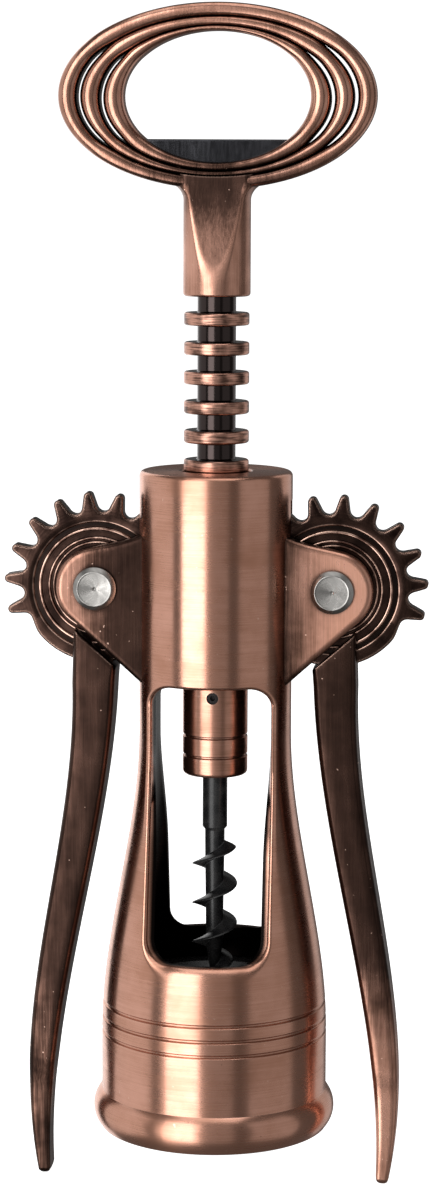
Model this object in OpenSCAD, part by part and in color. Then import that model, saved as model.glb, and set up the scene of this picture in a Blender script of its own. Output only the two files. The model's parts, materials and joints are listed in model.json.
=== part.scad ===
// Lever corkscrew with two geared wings, a round rack and an oval handle that lifts crown caps.
// Millimetres, +Z up, X to the right, Y away from the front.
// The origin is the centre of the bottle socket's mouth.

/* [Frame] */
// Outer radius of the straight barrel
barrel_r = 12.4; // [12:0.1:13]
// Outer radius of the skirt above its bead
skirt_r = 18.55; // [18:0.05:19]
// Height of the barrel's top face
barrel_top = 108.6; // [107:0.1:110]
// Wall thickness of the hollow lower frame
wall = 2.4; // [2:0.1:2.8]
// Radius of the bore that guides the rack
guide_r = 5.7; // [5.6:0.05:6]
// Radius of the socket that slips over a bottle's mouth
socket_r = 15.5; // [15:0.1:15.8]
// Height at which the bottle's mouth stops
seat_z = 20; // [18:0.5:21]
// Lowest point of each window
window_bottom = 30.2; // [29:0.1:31]
// Highest point of each window
window_top = 74.4; // [73:0.1:75]

/* [Wings] */
// Distance of each pivot from the rack's axis
pivot_x = 19.2; // [19:0.05:19.6]
// Height of both pivots
pivot_z = 89.6; // [89:0.1:90.5]
// Radius of the gear over its teeth
gear_tip_r = 15.35; // [15:0.05:15.5]
// Radius of the gear between its teeth
gear_root_r = 12.1; // [11.8:0.1:12.3]
// Thickness of the gear
gear_t = 3; // [2.6:0.1:3.1]
// Thickness of the wing itself
wing_t = 7.6; // [6:0.1:8]

/* [Rack] */
// Radius over the rings
ring_r = 5.25; // [5.1:0.05:5.3]
// Radius of the core between the rings
core_r = 3.1; // [2.9:0.1:3.2]
// Thickness of each ring
ring_t = 1.8; // [1.5:0.05:1.9]

/* [Handle] */
// Half width of the oval
oval_a = 25.45; // [24.5:0.05:26]
// Half height of the oval
oval_b = 14.7; // [14:0.1:15]
// Height of the oval's centre
oval_z = 168.3; // [167.5:0.1:169.5]
// Thickness of the oval
oval_t = 5.4; // [5:0.1:6]
// Radius of the neck
neck_r = 5.4; // [5.2:0.05:5.5]

/* [Worm] */
// Outer radius of the worm's blade
blade_r = 3.7; // [3.2:0.05:3.8]
// Rise of the blade in one turn
blade_pitch = 6.6; // [6:0.1:6.8]
// Height of the worm's tip
tip_z = 23.2; // [22.5:0.1:25]

/* [Hidden] */

copper = [0.66, 0.38, 0.30];
dark_copper = [0.42, 0.26, 0.22];
gunmetal = [0.14, 0.14, 0.16];
black = [0.06, 0.06, 0.06];
bright = [0.80, 0.80, 0.78];

round_fn = 96;
small_fn = 48;
corner_fn = 32;
tooth_fn = 24;
over = 1;              // how far a cutting shape runs past what it cuts

// Skirt: the curve from barrel to skirt, and the bead round its foot
flare_top = 66;
flare_bottom = 16;
flare_steps = 14;
bead_r = 4.2;
bead_z = 3.1;
bead_out = 19.9;
bead_low_angle = -47;
bead_high_angle = 43;
bead_join_z = 6.5;
groove_z = [16.1, 18.55, 21];
groove_w = 0.6;
groove_d = 0.35;
shoulder = 0.8;
seat_r = 15.8;
seat_h = 4;
cavity_top = 76.5;

// Windows
window_half = 9.65;
window_corner = 3.6;

// Ears and pivots
ear_gap = 3.8;
ear_t = 2.6;
ear_r = 6.5;
ear_face = ear_gap / 2 + ear_t;
ear_root_x = 11.5;
ear_high_z = 98.4;
ear_low_z = 73.9;
ear_inner_x = 8;
gear_room = 0.6;
sleeve_r = 2;
lever_bore_r = 2.05;
shank_r = 1.3;
shank_inner_end = 3.6;
sleeve_play = 0.1;
sleeve_bore_end = 3.8;
head_r = 3.5;
head_t = 1.2;
head_bevel = 0.5;
washer_r = 4.4;
washer_bore_r = 2.1;
washer_t = 0.3;

// Gear and rack: one tooth step of the gear is one ring step of the rack
tooth_step = 20;
rack_pitch = 4.722;
first_tooth = -24.7;
teeth = 12;
tooth_root_half = 1.35;
tooth_tip_half = 0.74;
gear_back_r = 12.6;
gear_back_from = 204;
gear_back_to = 300;

// Rack and spindle
ring_low_z = 81.22;
rings = 12;
ring_chamfer = 0.3;
rack_bottom = 79.15;
rack_top = 138.35;
rack_bore_r = 2.13;
spindle_r = 2.05;
spindle_bottom = 67.45;
spindle_top = 150;

// Coupler and worm
coupler_r = 5.3;
coupler_bottom = 58.85;
coupler_top = 78.85;
coupler_round = 0.6;
coupler_groove_z = [62.15, 65.4];
coupler_groove_w = 0.35;
coupler_groove_d = 0.2;
screw_z = 72;
screw_r = 0.95;
screw_face = 4.8;
screw_gap = 0.02;
hex_r = 0.5;
hex_depth = 0.9;
shank_top = 67.25;
shank_step = 50;
worm_core_r = 1.45;
blade_root_r = 1.3;
blade_top = 47.1;
blade_slices = 42;
taper_z = 31;
tip_scale = 0.12;
tip_slices = 20;
blade_root_half = 30;
blade_edge_half = 7;

// Neck and oval
neck_bottom = 136.65;
neck_top = 156;
neck_round = 0.5;
facet_low_z = 139.5;
facet_high_z = 155.5;
facet_y = 2.75;
facet_skim = 0.01;
pocket_r = 3.3;
pocket_depth = 2;
neck_fillet = 2;
fillet_z = 153.2;
hole_a = 14.9;
hole_b = 10.3;
hole_z = oval_z - 0.1;
valley = [[18.45, 11.4, -0.4], [22.15, 12.6, -0.1]]; // half width, half height, drop
valley_w = 0.7;
valley_d = 1.6;
slot_w = 0.6;
slot_half_h = 8.2;
lip_z = 161.5;
lip_t = 2.2;

// Wing outline from the pivot: straight root, then two cubic curves down to a round tip
wing_out = [[-4.1, -15.8], [-3.4, -43.5], [-15.5, -69.8], [-10.1, -98]];
wing_in = [[3.1, -15.8], [2, -43.3], [-8.7, -69.6], [-7.85, -97.9]];
wing_root_out = [-3.8, -6.6];
wing_root_in = [3.3, -13];
wing_steps = 12;
wing_tip_r = 1.2;
wing_draft = 0.7;
wing_core_t = 3.6;

function blend(t) = let (s = min(1, max(0, t))) s * s * (3 - 2 * s);
function outer_r(z) = barrel_r
    + (skirt_r - barrel_r) * blend((flare_top - z) / (flare_top - flare_bottom));
function flare_z(i) = flare_bottom + (flare_top - flare_bottom) * i / flare_steps;
function bezier(p, t) = pow(1 - t, 3) * p[0] + 3 * t * pow(1 - t, 2) * p[1]
    + 3 * t * t * (1 - t) * p[2] + pow(t, 3) * p[3];
function tangent_point(c, r, p, side) = let (
        d = norm(p - c),
        a = atan2(p[1] - c[1], p[0] - c[0]) + side * acos(r / d))
    c + r * [cos(a), sin(a)];

// Lays a flat outline in the XZ plane and gives it a thickness along Y
module upright(t) {
    rotate([90, 0, 0])
        linear_extrude(height = t, center = true)
            children();
}

// A solid of revolution about a line along Y, its profile's height pointing to the front
module turned(x, z, fn = small_fn) {
    translate([x, 0, z])
        rotate([90, 0, 0])
            rotate_extrude($fn = fn)
                children();
}

module ellipse(a, b) {
    scale([a, b])
        circle(r = 1, $fn = round_fn);
}

module both_sides() {
    children();
    mirror([1, 0, 0])
        children();
}

// ---------------------------------------------------------------- frame

module frame_profile() {
    bead_x = bead_out - bead_r;
    bead = [for (a = [bead_low_angle:10:bead_high_angle])
        [bead_x + bead_r * cos(a), bead_z + bead_r * sin(a)]];
    grooves = [for (z = groove_z) each [
        [outer_r(z), z - groove_w / 2],
        [outer_r(z) - groove_d, z - groove_w / 5],
        [outer_r(z) - groove_d, z + groove_w / 5],
        [outer_r(z), z + groove_w / 2]]];
    flare = [for (i = [2:flare_steps]) [outer_r(flare_z(i)), flare_z(i)]];
    top = [for (a = [0:30:90])
        [barrel_r - shoulder + shoulder * cos(a), barrel_top - shoulder + shoulder * sin(a)]];
    polygon(concat([[0, 0], [bead[0][0], 0]], bead, [[skirt_r, bead_join_z]],
        grooves, flare, top, [[0, barrel_top]]));
}

module cavity_profile() {
    curve = [for (i = [3:flare_steps]) [outer_r(flare_z(i)) - wall, flare_z(i)]];
    polygon(concat(
        [[0, -over], [socket_r, -over], [socket_r, seat_z], [seat_r, seat_z],
         [seat_r, seat_z + seat_h],
         [outer_r(seat_z + seat_h) - wall, seat_z + seat_h]],
        curve,
        [[barrel_r - wall, cavity_top], [0, cavity_top]]));
}

module window_outline() {
    hull()
        for (x = [-1, 1], z = [window_bottom + window_corner, window_top - window_corner])
            translate([x * (window_half - window_corner), z])
                circle(r = window_corner, $fn = corner_fn);
}

module ear_outline() {
    c = [-pivot_x, pivot_z];
    high = [-ear_root_x, ear_high_z];
    low = [-ear_root_x, ear_low_z];
    translate(c)
        circle(r = ear_r, $fn = small_fn);
    polygon([c, tangent_point(c, ear_r, high, 1), high, [-ear_inner_x, ear_high_z],
        [-ear_inner_x, ear_low_z], low, tangent_point(c, ear_r, low, -1)]);
}

module ears() {
    for (s = [-1, 1])
        translate([0, s * (ear_gap + ear_t) / 2, 0])
            upright(ear_t)
                ear_outline();
}

module frame_body() {
    color(copper)
    difference() {
        union() {
            rotate_extrude($fn = round_fn)
                frame_profile();
            both_sides()
                ears();
        }
        rotate_extrude($fn = round_fn)
            cavity_profile();
        cylinder(r = guide_r, h = barrel_top + over, $fn = small_fn);
        upright(3 * skirt_r)
            window_outline();
        both_sides() {
            translate([-pivot_x, 0, pivot_z])
                rotate([90, 0, 0])
                    cylinder(r = gear_tip_r + gear_room, h = ear_gap, center = true,
                        $fn = round_fn);
            translate([-pivot_x, 0, pivot_z])
                rotate([90, 0, 0])
                    cylinder(r = sleeve_r, h = 4 * ear_face, center = true, $fn = small_fn);
        }
    }
}

// Black ring snapped into the skirt; the bottle's mouth stops against its flat underside
module bottle_seat() {
    lead_in = 3;
    hole_r = 9.5;
    color(black)
    rotate_extrude($fn = round_fn)
        polygon([[hole_r, seat_z], [seat_r, seat_z], [seat_r, seat_z + seat_h],
            [hole_r + lead_in, seat_z + seat_h], [hole_r, seat_z + seat_h / 2]]);
}

// ---------------------------------------------------------------- pivots

module rivet_front(side) {
    color(bright)
    turned(side * pivot_x, pivot_z)
        polygon([[0, -shank_inner_end], [shank_r, -shank_inner_end], [shank_r, ear_face],
            [head_r, ear_face], [head_r, ear_face + head_t - head_bevel],
            [head_r - head_bevel, ear_face + head_t], [0, ear_face + head_t]]);
}

module rivet_back(side) {
    sleeve_end = ear_face - sleeve_play;
    color(bright)
    turned(side * pivot_x, pivot_z)
        polygon([[0, -ear_face - head_t], [head_r - head_bevel, -ear_face - head_t],
            [head_r, -ear_face - head_t + head_bevel], [head_r, -ear_face],
            [sleeve_r, -ear_face], [sleeve_r, sleeve_end], [shank_r, sleeve_end],
            [shank_r, -sleeve_bore_end], [0, -sleeve_bore_end]]);
}

module washer(side, facing) {
    middle = facing * (gear_t + ear_gap) / 4;
    color(bright)
    turned(side * pivot_x, pivot_z)
        translate([washer_bore_r, middle - washer_t / 2])
            square([washer_r - washer_bore_r, washer_t]);
}

module left_rivet_front() { rivet_front(-1); }
module left_rivet_back() { rivet_back(-1); }
module right_rivet_front() { rivet_front(1); }
module right_rivet_back() { rivet_back(1); }
module left_front_washer() { washer(-1, 1); }
module left_back_washer() { washer(-1, -1); }
module right_front_washer() { washer(1, 1); }
module right_back_washer() { washer(1, -1); }

// ---------------------------------------------------------------- levers

module gear_outline() {
    circle(r = gear_root_r, $fn = round_fn);
    intersection() {
        circle(r = gear_back_r, $fn = round_fn);
        polygon([[0, 0], for (a = [gear_back_from, gear_back_to])
            2 * gear_back_r * [cos(a), sin(a)]]);
    }
    for (i = [0:teeth - 1])
        rotate(first_tooth + tooth_step * i) {
            polygon([[gear_root_r - over, -tooth_root_half],
                [gear_tip_r - tooth_tip_half, -tooth_tip_half],
                [gear_tip_r - tooth_tip_half, tooth_tip_half],
                [gear_root_r - over, tooth_root_half]]);
            translate([gear_tip_r - tooth_tip_half, 0])
                circle(r = tooth_tip_half, $fn = tooth_fn);
        }
}

module wing_outline() {
    outer = [for (i = [0:wing_steps]) bezier(wing_out, i / wing_steps)];
    inner = [for (i = [wing_steps:-1:0]) bezier(wing_in, i / wing_steps)];
    tip = (wing_out[3] + wing_in[3]) / 2;
    polygon(concat([wing_root_out], outer, inner, [wing_root_in]));
    translate(tip)
        circle(r = wing_tip_r, $fn = corner_fn);
}

// Left-hand lever with its pivot at the origin of its outline
module lever() {
    translate([-pivot_x, 0, pivot_z])
    difference() {
        union() {
            upright(gear_t)
                gear_outline();
            upright(wing_core_t)
                wing_outline();
            upright(wing_t)
                offset(delta = -wing_draft)
                    wing_outline();
        }
        rotate([90, 0, 0])
            cylinder(r = lever_bore_r, h = 2 * wing_t, center = true, $fn = small_fn);
    }
}

module left_lever() {
    color(dark_copper)
        lever();
}

module right_lever() {
    color(dark_copper)
        mirror([1, 0, 0])
            lever();
}

// ---------------------------------------------------------------- rack, spindle, coupler, worm

module rack() {
    ring_points = [for (i = [0:rings - 1]) let (z = ring_low_z + rack_pitch * i) each [
        [core_r, z - ring_t / 2], [ring_r - ring_chamfer, z - ring_t / 2],
        [ring_r, z - ring_t / 2 + ring_chamfer], [ring_r, z + ring_t / 2 - ring_chamfer],
        [ring_r - ring_chamfer, z + ring_t / 2], [core_r, z + ring_t / 2]]];
    color(copper)
    rotate_extrude($fn = small_fn)
        polygon(concat([[rack_bore_r, rack_bottom], [core_r, rack_bottom]], ring_points,
            [[core_r, rack_top], [rack_bore_r, rack_top]]));
}

module spindle() {
    color(gunmetal)
    translate([0, 0, spindle_bottom])
        cylinder(r = spindle_r, h = spindle_top - spindle_bottom, $fn = small_fn);
}

// A cylinder that points to the front at the set screw's place
module screw_way(r, near, far, fn) {
    translate([0, 0, screw_z])
        rotate([90, 0, 0])
            translate([0, 0, near])
                cylinder(r = r, h = far - near, $fn = fn);
}

module coupler() {
    grooves = [for (z = coupler_groove_z) each [
        [coupler_r, z - coupler_groove_w / 2], [coupler_r - coupler_groove_d, z],
        [coupler_r, z + coupler_groove_w / 2]]];
    corner = [for (a = [-90:30:0])
        [coupler_r - coupler_round + coupler_round * cos(a),
         coupler_bottom + coupler_round + coupler_round * sin(a)]];
    color(copper)
    difference() {
        rotate_extrude($fn = small_fn)
            polygon(concat([[spindle_r, coupler_bottom]], corner, grooves,
                [[coupler_r, coupler_top], [spindle_r, coupler_top]]));
        screw_way(screw_r, spindle_r / 2, coupler_r + over, corner_fn);
    }
}

module set_screw() {
    color(gunmetal)
    difference() {
        screw_way(screw_r, spindle_r + screw_gap, screw_face, corner_fn);
        screw_way(hex_r, screw_face - hex_depth, screw_face + over, 6);
    }
}

module blade_outline() {
    circle(r = worm_core_r, $fn = tooth_fn);
    polygon([blade_root_r * [cos(blade_root_half), -sin(blade_root_half)],
        blade_r * [cos(blade_edge_half), -sin(blade_edge_half)],
        blade_r * [cos(blade_edge_half), sin(blade_edge_half)],
        blade_root_r * [cos(blade_root_half), sin(blade_root_half)]]);
}

module worm() {
    turns = (blade_top - taper_z) / blade_pitch;
    tip_turns = (taper_z - tip_z) / blade_pitch;
    color(black) {
        translate([0, 0, shank_step])
            cylinder(r = spindle_r, h = shank_top - shank_step, $fn = small_fn);
        translate([0, 0, taper_z])
            cylinder(r = worm_core_r, h = shank_step - taper_z, $fn = corner_fn);
        translate([0, 0, taper_z])
            rotate(-360 * turns)
                linear_extrude(height = blade_top - taper_z, twist = -360 * turns,
                    slices = blade_slices)
                    blade_outline();
        translate([0, 0, taper_z])
            mirror([0, 0, 1])
                rotate(-360 * turns)
                    linear_extrude(height = taper_z - tip_z, twist = 360 * tip_turns,
                        scale = tip_scale, slices = tip_slices)
                        blade_outline();
    }
}

// ---------------------------------------------------------------- handle

module valley_ring(a, b, w) {
    difference() {
        ellipse(a + w / 2, b + w / 2);
        ellipse(a - w / 2, b - w / 2);
    }
}

module oval() {
    translate([0, 0, oval_z])
    difference() {
        upright(oval_t)
            ellipse(oval_a, oval_b);
        for (v = valley) {
            for (s = [-1, 1])
                translate([0, s * oval_t / 2, v[2]])
                    upright(2 * valley_d)
                        valley_ring(v[0], v[1], valley_w);
            translate([0, 0, v[2]])
                upright(2 * oval_t)
                    intersection() {
                        valley_ring(v[0], v[1], slot_w);
                        square([3 * oval_a, 2 * slot_half_h], center = true);
                    }
        }
    }
}

module neck() {
    rotate_extrude($fn = small_fn)
        polygon([[0, neck_bottom], [neck_r - neck_round, neck_bottom],
            [neck_r, neck_bottom + neck_round], [neck_r, neck_top], [0, neck_top]]);
    upright(oval_t)
        difference() {
            translate([-neck_r - neck_fillet, fillet_z])
                square([2 * (neck_r + neck_fillet), neck_fillet]);
            for (s = [-1, 1])
                translate([s * (neck_r + neck_fillet), fillet_z])
                    circle(r = neck_fillet, $fn = corner_fn);
        }
}

module neck_facets() {
    for (s = [0, 1])
        mirror([0, s, 0])
            rotate([90, 0, 90])
                linear_extrude(height = 4 * neck_r, center = true)
                    polygon([[-neck_r - facet_skim, facet_low_z], [-facet_y, facet_high_z],
                        [-facet_y, neck_top + over], [-2 * neck_r, neck_top + over],
                        [-2 * neck_r, facet_low_z]]);
}

module handle() {
    color(copper)
    difference() {
        union() {
            difference() {
                neck();
                neck_facets();
            }
            oval();
        }
        translate([0, 0, hole_z])
            upright(2 * oval_t)
                ellipse(hole_a, hole_b);
        translate([0, 0, neck_bottom - over])
            cylinder(r = pocket_r, h = pocket_depth + over, $fn = small_fn);
        translate([0, 0, neck_bottom])
            cylinder(r = spindle_r, h = spindle_top - neck_bottom, $fn = small_fn);
    }
}

module opener_insert() {
    color(gunmetal)
    upright(lip_t)
        intersection() {
            translate([0, hole_z])
                ellipse(hole_a, hole_b);
            translate([-hole_a, lip_z - 2 * hole_b])
                square([2 * hole_a, 2 * hole_b]);
        }
}

frame_body();
bottle_seat();
handle();
opener_insert();
rack();
spindle();
coupler();
set_screw();
worm();
left_lever();
right_lever();
left_rivet_front();
left_rivet_back();
right_rivet_front();
right_rivet_back();
left_front_washer();
left_back_washer();
right_front_washer();
right_back_washer();
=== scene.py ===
"""A lever corkscrew in brushed antique copper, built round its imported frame.

Row frame: +Z up the rack, +X to the right-hand lever, -Y to the front.
Shapes are worked out in millimetres and put into the scene in metres.
"""
import json
from math import acos, asin, atan2, copysign, cos, exp, hypot, pi, radians, sin, sqrt, tan

import bmesh
import bpy
from mathutils import Matrix, Vector


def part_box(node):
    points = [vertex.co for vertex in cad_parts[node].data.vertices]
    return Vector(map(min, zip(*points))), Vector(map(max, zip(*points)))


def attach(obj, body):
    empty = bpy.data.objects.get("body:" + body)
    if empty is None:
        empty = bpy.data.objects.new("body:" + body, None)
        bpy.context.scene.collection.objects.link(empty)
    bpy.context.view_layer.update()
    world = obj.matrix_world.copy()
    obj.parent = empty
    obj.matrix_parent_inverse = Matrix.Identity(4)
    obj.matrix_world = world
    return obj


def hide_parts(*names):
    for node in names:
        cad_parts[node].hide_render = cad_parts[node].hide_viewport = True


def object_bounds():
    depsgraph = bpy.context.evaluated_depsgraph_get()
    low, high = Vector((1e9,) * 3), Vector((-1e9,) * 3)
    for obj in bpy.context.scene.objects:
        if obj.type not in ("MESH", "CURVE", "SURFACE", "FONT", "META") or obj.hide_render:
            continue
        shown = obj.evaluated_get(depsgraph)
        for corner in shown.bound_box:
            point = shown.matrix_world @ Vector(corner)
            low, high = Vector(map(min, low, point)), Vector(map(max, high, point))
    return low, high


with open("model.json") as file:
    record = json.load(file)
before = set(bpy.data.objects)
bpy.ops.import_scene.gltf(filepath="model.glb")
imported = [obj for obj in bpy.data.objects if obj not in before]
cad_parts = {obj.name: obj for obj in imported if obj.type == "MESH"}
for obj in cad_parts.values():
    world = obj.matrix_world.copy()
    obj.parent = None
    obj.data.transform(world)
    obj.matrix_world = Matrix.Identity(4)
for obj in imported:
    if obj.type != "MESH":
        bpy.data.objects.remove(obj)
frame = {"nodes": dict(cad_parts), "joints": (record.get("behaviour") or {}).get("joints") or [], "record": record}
cad_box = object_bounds()

MM = 0.001
FULL_TURN = 2 * pi
SHARP_ANGLE = 38
SAME_POINT = 0.004
RAY_SAMPLES = 6


# ---- sizes from the frame

def box_mm(node):
    """Lowest and highest corner of a CAD node, in millimetres."""
    low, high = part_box(node)
    return low / MM, high / MM


def joint(name):
    return next(j for j in frame["joints"] if j["name"] == name)


_, FRAME_HIGH = box_mm("frame_body")
PIVOT_X = abs(joint("left_wing_swing")["pos_m"][0]) / MM
PIVOT_Z = joint("left_wing_swing")["pos_m"][2] / MM
SOCKET_R = next(m for m in frame["record"]["mounts"]
                if m["name"] == "bottle_socket")["dims"]["r_mm"]
BARREL_TOP = FRAME_HIGH.z
BEAD_OUT = FRAME_HIGH.y
BARREL_R = 12.4
SKIRT_R = 18.55
WALL = 2.4
GUIDE_R = 5.7
SEAT_LOW, SEAT_HIGH = box_mm("bottle_seat")
CAVITY_TOP = 76.5
FLARE_TOP = 66.0
FLARE_BOTTOM = 16.0
GROOVES = (16.1, 18.55, 21.0)
GROOVE_DEPTH = 0.36
GROOVE_HALF = 0.26
SHOULDER = 0.8

WINDOW_BOTTOM = 30.2
WINDOW_TOP = 74.4
WINDOW_HALF = 9.65
WINDOW_CORNER = 3.6
WINDOW_ROUND = 1.15
GROW_ASIDE, GROW_DOWN, GROW_UP = 0.9, 1.75, 0.6
BACK_WINDOW_DROP = 0.75

EAR_R = 6.5
EAR_INNER = 1.9
EAR_OUTER = 4.5
EAR_HIGH_Z = 98.4
EAR_LOW_Z = 73.9
EAR_ROOT_X = 11.5
EAR_HIDDEN_X = 8.6


# ---- small geometry helpers

def smoothstep(t):
    t = min(1.0, max(0.0, t))
    return t * t * (3 - 2 * t)


def lerp(a, b, t):
    return a + (b - a) * t


def spaced(a, b, steps):
    """Evenly spaced values from a to b, both included."""
    return [lerp(a, b, k / steps) for k in range(steps + 1)]


def bezier(points, t):
    """A point of a cubic curve given by its four control points."""
    weights = ((1 - t) ** 3, 3 * t * (1 - t) ** 2, 3 * t * t * (1 - t), t ** 3)
    return tuple(sum(w * p[i] for w, p in zip(weights, points)) for i in (0, 1))


def filleted(points, radii, steps=5):
    """A closed outline with each corner rounded; radii is one number or one for each corner."""
    count = len(points)
    if not hasattr(radii, "__len__"):
        radii = [radii] * count
    out = []
    for i, corner in enumerate(points):
        p = Vector(corner)
        back = Vector(points[i - 1]) - p
        ahead = Vector(points[(i + 1) % count]) - p
        rounded = radii[i] > 0 and min(back.length, ahead.length) >= 1e-6
        angle = back.angle(ahead) if rounded else pi
        if angle > pi - 0.01:
            out.append(tuple(p))
            continue
        reach = min(radii[i] / tan(angle / 2), 0.48 * back.length, 0.48 * ahead.length)
        radius = reach * tan(angle / 2)
        start = p + back.normalized() * reach
        end = p + ahead.normalized() * reach
        centre = p + (back.normalized() + ahead.normalized()).normalized() * (
            radius / sin(angle / 2))
        for k in range(steps + 1):
            arm = (start - centre).lerp(end - centre, k / steps).normalized() * radius
            out.append(tuple(centre + arm))
    return out


class Shape:
    """Vertices in millimetres, and faces, gathered from several surfaces."""

    def __init__(self):
        self.verts = []
        self.faces = []

    def add(self, verts, faces):
        start = len(self.verts)
        self.verts += [tuple(v) for v in verts]
        self.faces += [tuple(start + i for i in face) for face in faces]

    def rings(self, rings, close_rings=False, cap=True):
        """Joins closed rings of points, all of one length, into a skin."""
        size = len(rings[0])
        verts = [p for ring in rings for p in ring]
        faces = []
        last = len(rings) if close_rings else len(rings) - 1
        for i in range(last):
            a = i * size
            b = ((i + 1) % len(rings)) * size
            for k in range(size):
                n = (k + 1) % size
                faces.append((a + k, a + n, b + n, b + k))
        if cap and not close_rings:
            faces.append(tuple(reversed(range(size))))
            faces.append(tuple(range((len(rings) - 1) * size, len(rings) * size)))
        self.add(verts, faces)

    def grid(self, rows):
        """Joins open rows of points, all of one length."""
        size = len(rows[0])
        verts = [p for row in rows for p in row]
        faces = [(i * size + k, i * size + k + 1, (i + 1) * size + k + 1, (i + 1) * size + k)
                 for i in range(len(rows) - 1) for k in range(size - 1)]
        self.add(verts, faces)

    def lathe(self, profile, segments, closed=True):
        """Turns a profile of (radius, height) points about the Z axis."""
        rings = [circle(r, segments, z) for r, z in profile]
        self.rings(rings, close_rings=closed, cap=False)

    def slab(self, outline, layers):
        """A plate in the XZ plane: outline(inset) gives its edge, layers are (inset, y)."""
        self.rings([[(x, y, z) for x, z in outline(inset)] for inset, y in layers])

    def four_ways(self, verts, faces, drop=lambda y, z: 0.0):
        """Adds a surface and its mirror images left, right, front and back."""
        for sx in (1, -1):
            for sy in (1, -1):
                self.add([(sx * x, sy * y, z - drop(sy * y, z)) for x, y, z in verts], faces)

    def mapped(self, change):
        self.verts = [change(v) for v in self.verts]


def circle(radius, steps, z):
    """Points round the Z axis at a height."""
    return [(radius * cos(FULL_TURN * k / steps), radius * sin(FULL_TURN * k / steps), z)
            for k in range(steps)]


def quarter_turn(steps):
    """Angles from 0 to a right angle, both included."""
    return [pi / 2 * k / steps for k in range(steps + 1)]


def bearing(azimuth, elevation):
    """A unit vector towards a place round the object; azimuth 0 is in front."""
    return Vector((sin(azimuth) * cos(elevation),
                   -cos(azimuth) * cos(elevation), sin(elevation)))


def add_object(name, data):
    obj = bpy.data.objects.new(name, data)
    bpy.context.scene.collection.objects.link(obj)
    return obj


def to_front(x, z):
    """Maps a shape turned about Z onto an axis along Y through (x, z), its top to the front."""
    return lambda v: (x + v[0], -v[2], z + v[1])


def smooth(mesh, sharp_angle):
    mesh.shade_smooth()
    mesh.set_sharp_from_angle(angle=radians(sharp_angle))


def build_mesh(name, shape, sharp_angle=SHARP_ANGLE):
    mesh = bpy.data.meshes.new(name)
    mesh.from_pydata([(x * MM, y * MM, z * MM) for x, y, z in shape.verts], [], shape.faces)
    work = bmesh.new()
    work.from_mesh(mesh)
    bmesh.ops.remove_doubles(work, verts=work.verts, dist=SAME_POINT * MM)
    bmesh.ops.dissolve_degenerate(work, edges=work.edges, dist=SAME_POINT / 2 * MM)
    bmesh.ops.recalc_face_normals(work, faces=work.faces)
    work.to_mesh(mesh)
    work.free()
    smooth(mesh, sharp_angle)
    return mesh


def piece(name, shape, body, material, nodes=(), sharp_angle=SHARP_ANGLE, carve=None):
    """Makes one visible piece of the object, carried by a body and standing for CAD nodes."""
    obj = add_object(name, build_mesh(name, shape, sharp_angle))
    if carve is not None:
        carve_out(obj, carve, sharp_angle)
    obj.data.materials.append(material)
    weighted = obj.modifiers.new("weighted_normals", "WEIGHTED_NORMAL")
    weighted.keep_sharp = True
    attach(obj, body)
    if nodes:
        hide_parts(*nodes)


def carve_out(obj, shape, sharp_angle):
    """Takes a closed shape out of a piece for good."""
    cutter = add_object("cutter", build_mesh("cutter", shape))
    cut = obj.modifiers.new("cut", "BOOLEAN")
    cut.operation = "DIFFERENCE"
    cut.solver = "EXACT"
    cut.object = cutter
    depsgraph = bpy.context.evaluated_depsgraph_get()
    carved = bpy.data.meshes.new_from_object(obj.evaluated_get(depsgraph))
    obj.modifiers.remove(cut)
    old = obj.data
    carved.name = old.name + "_carved"
    obj.data = carved
    bpy.data.meshes.remove(old)
    bpy.data.objects.remove(cutter)
    smooth(carved, sharp_angle)


# ---- materials

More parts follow.
